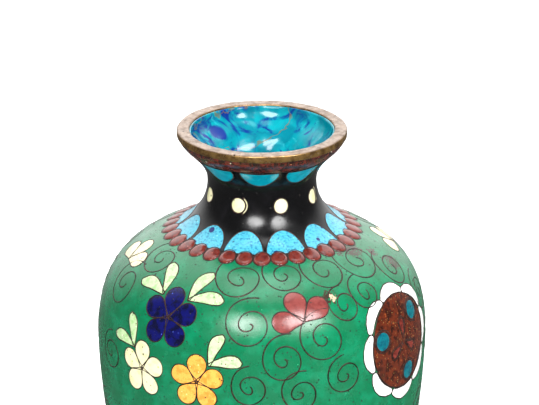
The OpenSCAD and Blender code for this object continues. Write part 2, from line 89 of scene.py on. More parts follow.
def vessel_outline():
    """Outer outline (r, z) from the mouth ring down to the foot ring: five curves, finely stepped."""
    def way(degrees, side):
        return np.array([math.cos(math.radians(degrees)), side * math.sin(math.radians(degrees))])

    collar = np.array([MOUTH_R - EDGE_GAP, HEIGHT - RING_H])
    neck = np.array([12 * MM, HEIGHT - 12 * MM])
    shoulder = np.array([20.2 * MM, HEIGHT - 23.2 * MM])
    body = np.array([BODY_R, HEIGHT - 46.5 * MM])
    waist = np.array([18 * MM, 12 * MM])
    foot = np.array([FOOT_R - EDGE_GAP, FOOT_RING_H])
    down = np.array([0, -1.0])
    neck_reach = collar[1] - neck[1]
    rise = neck[1] - shoulder[1]
    run = body[0] - shoulder[0]
    bulge = shoulder[1] - body[1]
    fall = body[1] - waist[1]
    flare = waist[1] - foot[1]
    return np.vstack([
        bezier(collar, collar - way(62, 1) * neck_reach * 0.39, neck - down * neck_reach * 0.49, neck),
        bezier(neck, neck + down * rise * 0.53, shoulder - way(22, -1) * rise * 0.36, shoulder),
        bezier(shoulder, shoulder + way(22, -1) * run * 0.65, body - down * bulge * 0.61, body),
        bezier(body, body + down * fall * 0.41, waist - down * fall * 0.31, waist),
        bezier(waist, waist + down * flare * 0.5, foot - way(70, -1) * flare * 0.3, foot),
        foot[None],
    ])


OUTLINE = vessel_outline()
STEP = np.linalg.norm(np.diff(OUTLINE, axis=0), axis=1)
ARC = np.concatenate([[0], np.cumsum(STEP)])
SLOPE = np.gradient(OUTLINE, axis=0)
SLOPE /= np.linalg.norm(SLOPE, axis=1)[:, None]
NORMAL = np.stack([-SLOPE[:, 1], SLOPE[:, 0]], axis=1)
END = ARC[-1]


def arc_at(z):
    """Arc length at height z on the outer surface."""
    return np.interp(-z, -OUTLINE[:, 1], ARC)


def radius(arc):
    """Radius of the outer surface at an arc length."""
    return np.interp(arc, ARC, OUTLINE[:, 0])


def waver(angle, arc):
    """Unevenness of a surface that was raised, fired and ground by hand."""
    a = np.asarray(angle)
    s = np.asarray(arc) / (10 * MM)
    level = (np.sin(3 * a + 0.9 * s) + 0.8 * np.sin(5 * a - 1.7 * s + 1) + 0.6 * np.sin(9 * a + 2.3 * s + 2)
             + 0.5 * np.sin(14 * a - 3.1 * s + 4))
    fade = np.clip(np.minimum(s, (END / (10 * MM) - s)) * 3, 0, 1)
    return level * fade * 0.02 * MM


def on_surface(angle, arc, out=0.0):
    """Points on the vessel at an angle and an arc length, raised by out."""
    raised = out + waver(angle, arc)
    r = radius(arc) + raised * np.interp(arc, ARC, NORMAL[:, 0])
    z = np.interp(arc, ARC, OUTLINE[:, 1]) + raised * np.interp(arc, ARC, NORMAL[:, 1])
    return np.stack([r * np.sin(angle), -r * np.cos(angle), z], axis=-1)


def locate(points):
    """Angle and arc length of the surface point nearest to each given point."""
    p = np.atleast_2d(points)
    angle = np.arctan2(p[:, 0], -p[:, 1])
    rz = np.stack([np.hypot(p[:, 0], p[:, 1]), p[:, 2]], axis=1)
    gap = ((rz[:, None, :] - OUTLINE[None]) ** 2).sum(axis=2)
    near = gap.argmin(axis=1)
    along = ((rz - OUTLINE[near]) * SLOPE[near]).sum(axis=1)
    return angle, np.clip(ARC[near] + along, 0, END)


def outward(angle, arc):
    """Unit direction that points away from the surface."""
    nr = np.interp(arc, ARC, NORMAL[:, 0])
    nz = np.interp(arc, ARC, NORMAL[:, 1])
    return np.stack([nr * np.sin(angle), -nr * np.cos(angle), nz], axis=-1)


# ---------------------------------------------------------------- mesh building

def add_piece(name, vertices, faces, material, nodes=(), sharp=40):
    mesh = bpy.data.meshes.new(name)
    mesh.from_pydata([tuple(v) for v in vertices], [], [tuple(int(i) for i in f) for f in faces])
    mesh.validate()
    mesh.polygons.foreach_set("use_smooth", [True] * len(mesh.polygons))
    mesh.set_sharp_from_angle(angle=math.radians(sharp))
    mesh.materials.append(material)
    obj = bpy.data.objects.new(name, mesh)
    bpy.context.scene.collection.objects.link(obj)
    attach(obj, "root")
    if nodes:
        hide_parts(*nodes)
    return obj


class Builder:
    """Collects the meshes of one piece."""

    def __init__(self):
        self.vertices = []
        self.faces = []
        self.count = 0

    def add(self, vertices, faces):
        self.vertices.append(np.asarray(vertices))
        self.faces.extend([[i + self.count for i in face] for face in faces])
        self.count += len(vertices)

    def piece(self, name, material, slot, nodes=(), sharp=40):
        return add_piece(name, np.vstack(self.vertices), self.faces, material, nodes, sharp)


def grid_faces(rows, columns, wrap_columns, wrap_rows=False):
    """Quads of a grid of points, row after row."""
    last_row = rows if wrap_rows else rows - 1
    last_column = columns if wrap_columns else columns - 1
    i, j = np.meshgrid(np.arange(last_row), np.arange(last_column), indexing="ij")
    here, below = i * columns, (i + 1) % rows * columns
    beside = (j + 1) % columns
    return np.stack([here + j, here + beside, below + beside, below + j], axis=-1).reshape(-1, 4)


def revolve_points(outline, segments):
    """Points of an outline (r, z) turned around the vessel's axis."""
    angle = np.linspace(0, TURN, segments, endpoint=False)
    r, z = outline[:, 0][:, None], outline[:, 1][:, None]
    return np.stack([r * np.sin(angle), -r * np.cos(angle), z + 0 * angle], axis=-1).reshape(-1, 3)


def layer(top, bottom, depth, rise):
    """Closed ring of the vessel wall between two arc lengths, crowned by a rise."""
    row_step = 0.5 * MM
    rows = max(3, int((bottom - top) / row_step) + 1)
    arcs = np.linspace(top, bottom, rows)
    crown = np.sin(np.pi * np.linspace(0, 1, rows)) ** 0.3
    angle = np.linspace(0, TURN, RING_SEGMENTS, endpoint=False)
    outer = [on_surface(angle, np.full(RING_SEGMENTS, arc), rise * part) for arc, part in zip(arcs, crown)]
    inner = [on_surface(angle, np.full(RING_SEGMENTS, arc), -depth) for arc in arcs[::-1]]
    points = np.vstack(outer + inner)
    return points, grid_faces(2 * rows, RING_SEGMENTS, True, True)


# ---------------------------------------------------------------- outlines read from the CAD

def welded(node):
    """Vertices and triangles of a CAD node with its doubled vertices joined."""
    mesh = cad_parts[node].data
    points = np.empty(len(mesh.vertices) * 3)
    mesh.vertices.foreach_get("co", points)
    points = points.reshape(-1, 3)
    rounded = np.round(points / (0.0001 * MM)).astype(np.int64)
    _, first, shared = np.unique(rounded, axis=0, return_index=True, return_inverse=True)
    mesh.calc_loop_triangles()
    faces = np.empty(len(mesh.loop_triangles) * 3, dtype=np.int64)
    mesh.loop_triangles.foreach_get("vertices", faces)
    return points[first], shared.reshape(-1)[faces].reshape(-1, 3)


def outward_faces(points, faces):
    """The triangles that look away from the vessel, slivers without an area left out."""
    corners = points[faces]
    normals = np.cross(corners[:, 1] - corners[:, 0], corners[:, 2] - corners[:, 0])
    area = np.linalg.norm(normals, axis=1)
    keep = area > 1e-14
    angle, arc = locate(corners[keep].mean(axis=1))
    lean = (normals[keep] / area[keep][:, None] * outward(angle, arc)).sum(axis=1)
    return faces[keep][lean > 0.75]


def outer_loops(node):
    """The outline of each solid's outward face in a CAD node, as closed loops of points."""
    points, faces = welded(node)
    edges = {}
    for a, b, c in outward_faces(points, faces):
        for edge in ((a, b), (b, c), (c, a)):
            edges[edge] = True
    following = {}
    for p, q in edges:
        if (q, p) not in edges:
            following.setdefault(p, []).append(q)
    loops = []
    while following:
        start = next(iter(following))
        loop = [start]
        while True:
            here = loop[-1]
            onward = following[here].pop()
            if not following[here]:
                del following[here]
            if onward == start:
                break
            loop.append(onward)
            if onward not in following:
                break
        if len(loop) > 3:
            loops.append(points[loop])
    return loops


def outlines(node):
    """Evenly stepped, slightly softened loops of a node's cells, holes left out."""
    spacing = 0.22 * MM
    found = []
    for loop in outer_loops(node):
        centre = loop.mean(axis=0)
        angle, arc = locate(centre)
        normal = outward(angle, arc)[0]
        turned = np.roll(loop, -1, axis=0)
        if (np.cross(loop - centre, turned - centre) @ normal).sum() > 0:
            found.append(soften(even(loop, spacing), 2))
    return found


def even(loop, spacing):
    """A closed loop stepped evenly."""
    closed = np.vstack([loop, loop[:1]])
    way = np.concatenate([[0], np.cumsum(np.linalg.norm(np.diff(closed, axis=0), axis=1))])
    count = max(12, int(way[-1] / spacing))
    at = np.linspace(0, way[-1], count, endpoint=False)
    return np.stack([np.interp(at, way, closed[:, k]) for k in range(3)], axis=1)


def soften(loop, passes):
    """A closed loop with each point drawn towards its neighbours."""
    for _ in range(passes):
        loop = (np.roll(loop, 1, axis=0) + 2 * loop + np.roll(loop, -1, axis=0)) / 4
    return loop


def sideways(loop, closed=True):
    """Unit directions on the surface that point out of a loop, or to one side of a path."""
    if closed:
        way = np.roll(loop, -1, axis=0) - np.roll(loop, 1, axis=0)
    else:
        way = np.gradient(loop, axis=0)
    angle, arc = locate(loop)
    side = np.cross(way, outward(angle, arc))
    return side / np.linalg.norm(side, axis=1)[:, None]


def any_phase():
    return rng.uniform(0, 6.3)


def widened(loop, by, unsure):
    """A loop moved outwards, with the small errors of a hand-bent wire."""
    turn = np.linspace(0, TURN, len(loop), endpoint=False)
    error = sum(rng.normal(0, unsure / k) * np.sin(k * turn + any_phase()) for k in (2, 3, 5))
    return loop + sideways(loop) * (by + error)[:, None]


def middle_angle(angle):
    return np.arctan2(np.sin(angle).mean(), np.cos(angle).mean())


def from_middle(angle, middle):
    """Angles measured from a middle one, between half a turn back and half a turn on."""
    return (angle - middle + np.pi) % TURN - np.pi


def stretched(loop, wide, tall, lower=0.0):
    """A loop made wider around the vessel and taller along it, and moved down by an arc length."""
    angle, arc = locate(loop)
    middle = middle_angle(angle)
    across = from_middle(angle, middle)
    centre = (arc.min() + arc.max()) / 2
    return on_surface(middle + across * wide, centre + (arc - centre) * tall + lower)


def drawn_out(loop, by):
    """A petal whose pointed end reaches further from its middle."""
    centre = loop.mean(axis=0)
    reach = np.linalg.norm(loop - centre, axis=1)
    tip = reach.argmax()
    way = (loop[tip] - centre) / reach[tip]
    along = np.clip((loop - centre) @ way / reach[tip], 0, 1)
    return loop + way * (by * along ** 2)[:, None]


# ---------------------------------------------------------------- cells and wires

# Rings of an enamel patch, as parts of its outline's size, and the depth of its skirt.
CROWN = [1, 0.93, 0.82, 0.66, 0.48, 0.28]
SKIRT = 0.12 * MM


def add_patch(builder, loop, rise):
    """Enamel in a cell: it meets the wire low, rises to a slight crown and has a skirt into the ground."""
    centre = loop.mean(axis=0)
    rings = [CROWN[0]] + CROWN
    angle, arc = locate(np.vstack([centre + (loop - centre) * part for part in rings] + [centre[None]]))
    count = len(loop)
    crowned = [np.full(count, rise * (1 - part ** 4)) for part in CROWN]
    height = np.concatenate([np.full(count, -SKIRT)] + crowned + [[rise]])
    points = on_surface(angle, arc, height)
    quads = grid_faces(len(rings), count, True)[:, ::-1]
    last = (len(rings) - 1) * count
    fan = [[last + i, len(points) - 1, last + (i + 1) % count] for i in range(count)]
    builder.add(points, quads.tolist() + fan)


# Half of a wire's section from its foot to the middle of its top: part of the half width, part of the rise.
HALF_SECTION = [(1.0, -1.6), (1.0, 0.25), (0.72, 0.8), (0.3, 1.0)]
WIRE_SECTION = [(-across, up) for across, up in HALF_SECTION] + HALF_SECTION[::-1]


def add_wire(builder, path, closed=True, width=WIRE_W):
    """A flat drawn wire that stands on edge along a path, with a slightly rounded and worn top."""
    side = sideways(path, closed)
    wave = 1 + 0.12 * np.sin(np.linspace(0, len(path) * 0.21, len(path)) + any_phase())
    rows = []
    for across, up in WIRE_SECTION:
        moved = path + side * (across * width / 2 * wave)[:, None]
        angle, arc = locate(moved)
        rows.append(on_surface(angle, arc, up * WIRE_RISE))
    points = np.stack(rows, axis=1).reshape(-1, 3)
    count, section = len(path), len(WIRE_SECTION)
    faces = grid_faces(count, section, True, closed)[:, ::-1].tolist()
    if not closed:
        faces += [list(range(section)), list(range((count - 1) * section, count * section))[::-1]]
    builder.add(points, faces)


def as_it_is(loop):
    return loop


def cells(name, node, material, slot, rise=0.06 * MM, grow=0.03 * MM, unsure=0.03 * MM, shape=as_it_is):
    """One enamel piece from all of a node's cells, reshaped and grown. Returns the loops."""
    builder = Builder()
    loops = [widened(shape(loop), grow, unsure) for loop in outlines(node)]
    for loop in loops:
        add_patch(builder, loop, rise)
    builder.piece(name, MATERIALS[material], slot, [node], sharp=60)
    return loops


def wires(node, loops, width=WIRE_W):
    """One wire piece that follows all the given loops, and stands for a CAD node called wires_something."""
    builder = Builder()
    for loop in loops:
        add_wire(builder, loop + sideways(loop) * width * 0.35, width=width)
    name = node.replace("wires_", "wires_of_")
    builder.piece(name, MATERIALS["wire"], "wire", [node], sharp=70)


# ---------------------------------------------------------------- materials

# Places of the colour sockets on a mix node, which has one set of sockets for each kind of value.
COLOUR_A = 6
COLOUR_B = 7
COLOUR_RESULT = 2


class Nodes:
    """A short way to write a procedural material."""

    def __init__(self, name):
        self.material = bpy.data.materials.new(name)
        self.material.use_nodes = True
        self.tree = self.material.node_tree
        self.shader = self.tree.nodes["Principled BSDF"]
        self.place = self.add("ShaderNodeTexCoord").outputs["Object"]

    def add(self, kind, **settings):
        node = self.tree.nodes.new(kind)
        for key, value in settings.items():
            setattr(node, key, value)
        return node

    def link(self, source, target):
        if isinstance(source, (int, float)):
            target.default_value = source
        elif isinstance(source, tuple):
            target.default_value = (*source, 1.0)
        else:
            self.tree.links.new(source, target)

    def noise(self, size, detail=3.0, distortion=0.0, roughness=0.55):
        """Noise with features of the given size in metres."""
        node = self.add("ShaderNodeTexNoise")
        self.link(self.place, node.inputs["Vector"])
        self.link(1 / size, node.inputs["Scale"])
        self.link(detail, node.inputs["Detail"])
        self.link(roughness, node.inputs["Roughness"])
        self.link(distortion, node.inputs["Distortion"])
        return node.outputs["Fac"]

    def step(self, value, low, high, to_low=0.0, to_high=1.0):
        """Smooth step of a value between two limits."""
        node = self.add("ShaderNodeMapRange", interpolation_type="SMOOTHSTEP")
        for source, key in ((value, "Value"), (low, "From Min"), (high, "From Max"),
                            (to_low, "To Min"), (to_high, "To Max")):
            self.link(source, node.inputs[key])
        return node.outputs["Result"]

    def math(self, operation, a, b):
        node = self.add("ShaderNodeMath", operation=operation)
        self.link(a, node.inputs[0])
        self.link(b, node.inputs[1])
        return node.outputs[0]

    def mix(self, amount, a, b):
        node = self.add("ShaderNodeMix", data_type="RGBA")
        self.link(amount, node.inputs["Factor"])
        self.link(a, node.inputs[COLOUR_A])
        self.link(b, node.inputs[COLOUR_B])
        return node.outputs[COLOUR_RESULT]

    def specks(self, size, radius, share):
        """Round specks: size is the spacing, radius a part of it, share the part of places that have one."""
        cell = self.add("ShaderNodeTexVoronoi", feature="F1")
        self.link(self.place, cell.inputs["Vector"])
        self.link(1 / size, cell.inputs["Scale"])
        pick = self.add("ShaderNodeSeparateColor")
        self.link(cell.outputs["Color"], pick.inputs["Color"])
        chosen = self.step(pick.outputs["Red"], 1 - share - 0.001, 1 - share)
        smallest = 0.45
        wide = self.math("MULTIPLY", self.step(pick.outputs["Green"], 0.0, 1.0, smallest, 1.0), radius)
        inside = self.math("LESS_THAN", cell.outputs["Distance"], wide)
        return self.math("MULTIPLY", inside, chosen)

    def bump(self, height, distance, normal=None):
        node = self.add("ShaderNodeBump")
        self.link(height, node.inputs["Height"])
        self.link(distance, node.inputs["Distance"])
        self.link(1.0, node.inputs["Strength"])
        if normal is not None:
            self.link(normal, node.inputs["Normal"])
        return node.outputs["Normal"]

    def finish(self, colour, roughness, normal, metallic=0.0):
        self.link(colour, self.shader.inputs["Base Color"])
        self.link(roughness, self.shader.inputs["Roughness"])
        self.link(metallic, self.shader.inputs["Metallic"])
        self.link(normal, self.shader.inputs["Normal"])
        return self.material


def linear(red, green, blue):
    """Colour as a screen shows it (0 to 255), turned into the linear values of a shader."""
    def one(value):
        value /= 255
        return value / 12.92 if value <= 0.04045 else ((value + 0.055) / 1.055) ** 2.4

    return one(red), one(green), one(blue)


def worn_patch(n, angle, drop, size):
    """Mask of a rough patch around a place on the vessel, given by its angle and its drop from the mouth."""
    middle = tuple(float(v) for v in on_surface(math.radians(angle), arc_at(HEIGHT - drop * MM)))
    span = n.add("ShaderNodeVectorMath", operation="DISTANCE")
    n.link(n.place, span.inputs[0])
    span.inputs[1].default_value = middle
    near = n.step(span.outputs["Value"], 0.25 * size * MM, size * MM, 1.0, 0.0)
    grain = n.math("ADD", n.noise(0.5 * MM, 3), n.math("MULTIPLY", near, 0.34))
    return n.math("MULTIPLY", n.step(grain, 0.72, 0.8), n.step(near, 0.02, 0.2))


def enamel(name, main, cloud, cloud_share, cloud_size, specks, pits, gloss=0.16, worn=(), mirror=0.45):
    """Fired and polished enamel: a clouded colour, coloured specks, tiny open pits and a wavy gloss.

    Each kind of speck is given by its colour, spacing, radius as a part of the spacing, and share of places.
    """
    n = Nodes(name)
    clouded = n.step(n.noise(cloud_size, 4), 0.62 - cloud_share * 0.35, 0.78 - cloud_share * 0.25)
    colour = n.mix(clouded, main, cloud)
    colour = n.mix(n.step(n.noise(0.35 * MM, 2), 0.35, 0.75, 0, 0.3), colour, cloud)
    for tint, spacing, part, share in specks:
        colour = n.mix(n.specks(spacing, part, share), colour, tint)
    pitted = n.math("MAXIMUM", n.specks(1.0 * MM, 0.18, pits * 4), n.specks(2.8 * MM, 0.085, pits * 3))
    colour = n.mix(n.math("MULTIPLY", pitted, 0.9), colour, linear(24, 18, 14))
    for angle, drop, size, tint in worn:
        colour = n.mix(worn_patch(n, angle, drop, size), colour, tint)
    waves = n.bump(n.noise(1.6 * MM, 2), 0.012 * MM)
    hollow = n.bump(n.math("SUBTRACT", 1.0, pitted), 0.05 * MM, waves)
    polish = n.step(n.noise(5 * MM, 3), 0.3, 0.7, gloss * 0.75, gloss * 1.35)
    n.link(mirror, n.shader.inputs["Specular IOR Level"])
    return n.finish(colour, n.math("ADD", polish, n.math("MULTIPLY", pitted, 0.4)), hollow)


def worn_metal(name, main, dark, bright, dark_share, rough, metallic=1.0):
    """Metal with a brown skin that is rubbed bright in places, fine scratches and dark pits."""
    n = Nodes(name)
    colour = n.mix(n.step(n.noise(2.4 * MM, 5), 0.62 - dark_share * 0.4, 0.8 - dark_share * 0.3), main, dark)
    colour = n.mix(n.step(n.noise(0.7 * MM, 4), 0.55, 0.75, 0, 0.75), colour, bright)
    pitted = n.specks(0.7 * MM, 0.16, 0.14)
    colour = n.mix(n.math("MULTIPLY", pitted, 0.8), colour, linear(50, 34, 24))
    rough_level = n.step(n.noise(1.1 * MM, 4), 0.3, 0.7, rough * 0.75, rough * 1.5)
    normal = n.bump(n.noise(0.25 * MM, 3), 0.01 * MM)
    normal = n.bump(n.math("SUBTRACT", 1.0, pitted), 0.05 * MM, normal)
    return n.finish(colour, rough_level, normal, metallic)


SOIL = linear(54, 40, 27)
CHIPPED = linear(196, 172, 146)
# Pitted and chipped patches of the green ground: angle in degrees, drop and radius in mm, colour.
WORN_PLACES = [
    (60, 24.4, 4.2, SOIL), (75, 28.6, 4.0, SOIL), (50, 23.9, 2.2, SOIL), (70, 25.8, 2.6, SOIL),
    (240, 52, 3, SOIL), (150, 30.5, 2.5, SOIL), (29, 29.4, 2.9, SOIL), (30, 29.6, 1.5, CHIPPED),
]


def make_materials():
    gold = linear(190, 150, 90)
    brown = linear(95, 60, 40)
    return {
        "green": enamel("green enamel", linear(0, 99, 61), linear(0, 116, 77), 0.5, 4 * MM,
                        [(linear(70, 175, 125), 1.3 * MM, 0.09, 0.12)], 0.22, 0.24, WORN_PLACES, mirror=0.5),
        "black": enamel("black enamel", linear(6, 6, 7), linear(16, 15, 18), 0.3, 3 * MM,
                        [(linear(120, 110, 100), 1.1 * MM, 0.08, 0.1)], 0.05, 0.2),
        "turquoise": enamel("turquoise enamel", linear(0, 118, 136), linear(10, 138, 154), 0.5, 2 * MM,
                            [(linear(14, 66, 110), 1.0 * MM, 0.16, 0.3)], 0.1),
        "light_blue": enamel("light blue enamel", linear(76, 178, 198), linear(28, 112, 154), 0.4, 0.5 * MM,
                             [(linear(16, 70, 140), 0.55 * MM, 0.2, 0.4),
                              (linear(20, 40, 100), 3.4 * MM, 0.24, 0.4),
                              (linear(140, 215, 235), 0.7 * MM, 0.2, 0.25)], 0.1),
        "brick_red": enamel("brick red enamel", linear(114, 44, 35), linear(84, 28, 23), 0.5, 1.2 * MM,
                            [(linear(175, 95, 80), 0.9 * MM, 0.14, 0.16)], 0.16),
        "dark_red": enamel("mottled dark red enamel", linear(92, 34, 26), linear(40, 18, 16), 0.75, 0.9 * MM,
                           [(linear(170, 110, 70), 0.8 * MM, 0.15, 0.2),
                            (linear(190, 180, 160), 1.7 * MM, 0.14, 0.2)], 0.3, 0.22),
        "cream": enamel("cream enamel", linear(226, 218, 180), linear(206, 206, 154), 0.45, 1.8 * MM,
                        [(linear(176, 198, 120), 1.4 * MM, 0.22, 0.2), (brown, 1.5 * MM, 0.11, 0.35)], 0.16),
        "white": enamel("white enamel", linear(236, 236, 232), linear(216, 218, 216), 0.4, 2 * MM,
                        [(brown, 1.2 * MM, 0.13, 0.5)], 0.25),
        "cobalt": enamel("cobalt enamel", linear(10, 14, 86), linear(5, 7, 40), 0.6, 1.5 * MM,
                         [(linear(70, 90, 190), 1.2 * MM, 0.13, 0.2)], 0.12),
        "yellow": enamel("yellow enamel", linear(226, 164, 72), linear(206, 132, 46), 0.5, 1.4 * MM,
                         [(linear(236, 204, 130), 0.9 * MM, 0.2, 0.25), (brown, 1.2 * MM, 0.12, 0.4)], 0.18),
        "rose": enamel("rose red enamel", linear(130, 62, 58), linear(108, 46, 44), 0.5, 1.5 * MM,
                       [(linear(205, 120, 110), 1.1 * MM, 0.14, 0.22)], 0.14),
        "pale_green": enamel("pale green enamel", linear(184, 206, 160), linear(148, 190, 126), 0.5, 1.1 * MM,
                             [(linear(226, 232, 204), 0.8 * MM, 0.22, 0.3),
                              (brown, 1.3 * MM, 0.12, 0.4)], 0.18),
        "brown": enamel("brown goldstone enamel", linear(92, 36, 17), linear(48, 18, 10), 0.6, 1.4 * MM,
                        [(linear(150, 76, 34), 0.9 * MM, 0.2, 0.35),
                         (gold, 0.45 * MM, 0.2, 0.4)], 0.2, 0.24, mirror=0.35),
        "teal": enamel("teal enamel", linear(0, 100, 110), linear(0, 70, 86), 0.5, 1.4 * MM,
                       [(linear(90, 170, 175), 1.1 * MM, 0.12, 0.2)], 0.14),
        "wire": worn_metal("copper wire", linear(54, 34, 29), linear(28, 18, 15), linear(104, 72, 60),
                           0.5, 0.42, metallic=0.4),
        "brass": ring_material(),
        "copper": worn_metal("copper", linear(172, 104, 76), linear(110, 62, 44), linear(220, 160, 130),
                             0.4, 0.4),
        "lining": lining_material(),
    }


def ring_material():
    """Old brass with dark pits: golden brown on the sides, and painted reflection on the flat top, a paler
    pinkish grey where it faces up.
    """
    n = Nodes("worn brass with painted top reflection")
    facing = n.add("ShaderNodeNewGeometry")
    parts = n.add("ShaderNodeSeparateXYZ")
    n.link(facing.outputs["Normal"], parts.inputs[0])
    # Painted reflection: the up-facing top gets this paler grey tone for the bright light it mirrors, the
    # sides keep the golden brown.
    top = n.mix(n.step(n.noise(2.2 * MM, 5), 0.35, 0.7), linear(142, 124, 110), linear(110, 93, 80))
    side = n.mix(n.step(n.noise(1.6 * MM, 5), 0.35, 0.65), linear(168, 132, 78), linear(108, 80, 46))
    # This mix by facing paints the reflection of the light above onto the top; it is not a change in the
    # metal.
    colour = n.mix(n.step(parts.outputs["Z"], 0.35, 0.85), side, top)
    colour = n.mix(n.step(n.noise(0.6 * MM, 3), 0.58, 0.74, 0, 0.6), colour, linear(190, 166, 138))
    pitted = n.math("MAXIMUM", n.specks(0.8 * MM, 0.15, 0.2), n.specks(1.9 * MM, 0.13, 0.25))
    colour = n.mix(n.math("MULTIPLY", pitted, 0.85), colour, linear(44, 30, 20))
    rough = n.step(n.noise(1.1 * MM, 4), 0.3, 0.7, 0.26, 0.5)
    normal = n.bump(n.noise(0.3 * MM, 3), 0.012 * MM)
    normal = n.bump(n.math("SUBTRACT", 1.0, pitted), 0.06 * MM, normal)
    return n.finish(colour, rough, normal, 0.85)


def lining_material():
    """Thick glassy turquoise with deep-blue clouds, a brown crack and dark specks."""
    n = Nodes("turquoise lining enamel")
    cloud = n.noise(7 * MM, 5, 1.2)
    colour = n.mix(n.step(cloud, 0.3, 0.7), linear(0, 152, 163), linear(0, 108, 128))
    parts = n.add("ShaderNodeSeparateXYZ")
    n.link(n.place, parts.inputs[0])
    leftward = n.step(parts.outputs["X"], -12 * MM, 9 * MM, 0.1, 0.0)
    smear = n.math("ADD", n.noise(5.5 * MM, 5, 1.6), leftward)
    colour = n.mix(n.step(smear, 0.53, 0.7), colour, linear(6, 46, 126))
    colour = n.mix(n.step(n.noise(3.2 * MM, 4, 0.8), 0.6, 0.72, 0, 0.6), colour, linear(50, 180, 190))
    colour = n.mix(n.specks(2.1 * MM, 0.13, 0.3), colour, linear(10, 34, 70))
    off_crack = n.math("ABSOLUTE", n.math("SUBTRACT", n.noise(26 * MM, 5, 0.6), 0.56), 0.0)
    crack = n.step(off_crack, 0.0, 0.008, 1.0, 0.0)
    colour = n.mix(n.math("MULTIPLY", crack, 0.7), colour, linear(110, 92, 50))
    waves = n.bump(n.noise(6 * MM, 1, 0.4), 0.9 * MM)
    n.link(0.4, n.shader.inputs["Specular IOR Level"])
    return n.finish(colour, 0.15, waves)


MATERIALS = make_materials()


# ---------------------------------------------------------------- grounds and bands

def field(name, top, bottom, material, rise=0.0):
    """A ground or band. Its name and the last word of its colour give the CAD node that it replaces."""
    points, faces = layer(top, bottom, ENAMEL_T, rise)
    node = f"{name}_{material.split('_')[-1]}"
    add_piece(name, points, faces, MATERIALS[material], [node], sharp=50)


def border_arcs():
    """Where one field ends and the next begins, from the heights of the CAD's bands."""
    def top_of(node):
        return arc_at(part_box(node)[1][2])

    def bottom_of(node):
        points, _ = welded(node)
        _, arc = locate(points)
        r = np.hypot(points[:, 0], points[:, 1])
        on_outer_face = np.abs(r - radius(arc)) < 0.12 * MM
        return arc[on_outer_face].max()

    beads = arc_at((BEADS_LOW[2] + BEADS_HIGH[2]) / 2)
    return {
        "collar": bottom_of("collar_band_red"),
        "beads": beads,
        "shoulder_top": beads - 1.5 * MM,
        "shoulder_bottom": beads + 0.1 * MM,
        "body_bottom": bottom_of("body_ground_green"),
        "foot_band_top": top_of("foot_band_red"),
        "foot_band_bottom": bottom_of("foot_band_red"),
        "foot_bottom": bottom_of("foot_ground_black"),
        "foot_edge_top": top_of("foot_edge_band_red"),
    }


AT = border_arcs()


def build_fields():
    field("collar_band", 0, AT["collar"], "dark_red", rise=0.12 * MM)
    field("neck_ground", AT["collar"], AT["shoulder_top"], "black")
    field("shoulder_band", AT["shoulder_top"], AT["shoulder_bottom"], "brick_red")
    field("body_ground", AT["shoulder_bottom"], AT["body_bottom"], "green")
    field("foot_band", AT["foot_band_top"], AT["foot_band_bottom"], "brick_red")
    field("foot_ground", AT["foot_band_bottom"], AT["foot_bottom"], "black")
    field("foot_edge_band", AT["foot_edge_top"], END, "dark_red")


def build_border_wires():
    """Wires between the fields, which wander a little up and down."""
    builder = Builder()
    angle = np.linspace(0, TURN, 420, endpoint=False)
    for key in ("collar", "body_bottom", "foot_band_bottom", "foot_bottom"):
        arc = AT[key] + 0.08 * MM * np.sin(7 * angle + AT[key] / MM)
        add_wire(builder, on_surface(angle, arc))
    builder.piece("wires_at_borders", MATERIALS["wire"], "wire", ["wires_borders"], sharp=70)


def rounded_section(outer, inner, low, high, soft):
    """Outline (r, z) of a ring with rounded corners, from the outer top corner around by the inside."""
    turns = np.radians(np.arange(0, 91, 18))
    corners = [
        (outer - soft, high - soft, 0), (inner + soft, high - soft, 90),
        (inner + soft, low + soft, 180), (outer - soft, low + soft, 270),
    ]
    arcs = []
    for r, z, start in corners:
        turn = turns + math.radians(start)
        arcs.append(np.stack([r + soft * np.cos(turn), z + soft * np.sin(turn)], axis=1))
    return np.vstack(arcs)


def build_ring(name, node, outer, low, high):
    """A brass ring with edges that wear has rounded and a slightly dented top."""
    outline = rounded_section(outer, inner_radius(node), low, high, soft=0.42 * MM)
    points = revolve_points(outline, RING_SEGMENTS)
    angle = np.arctan2(points[:, 0], -points[:, 1])
    dent = 0.05 * np.sin(5 * angle + 1) + 0.04 * np.sin(11 * angle) + 0.03 * np.sin(23 * angle + 2)
    points[:, :2] *= (1 + dent * 0.0022)[:, None]
    top = points[:, 2] > (low + high) / 2
    points[top, 2] += (dent[top] - 0.1) * 0.5 * MM
    faces = grid_faces(len(outline), RING_SEGMENTS, True, True)[:, ::-1]
    add_piece(name, points, faces, MATERIALS["brass"], [node], sharp=60)


def build_rings():
    build_ring("mouth_ring", "brass_mouth_ring", MOUTH_R, HEIGHT - RING_H, HEIGHT)
    build_ring("foot_ring", "brass_foot_ring", FOOT_R, 0, FOOT_RING_H)


def inner_radius(node):
    """Radius of the hole through a CAD ring."""
    points, _ = welded(node)
    return np.hypot(points[:, 0], points[:, 1]).min()


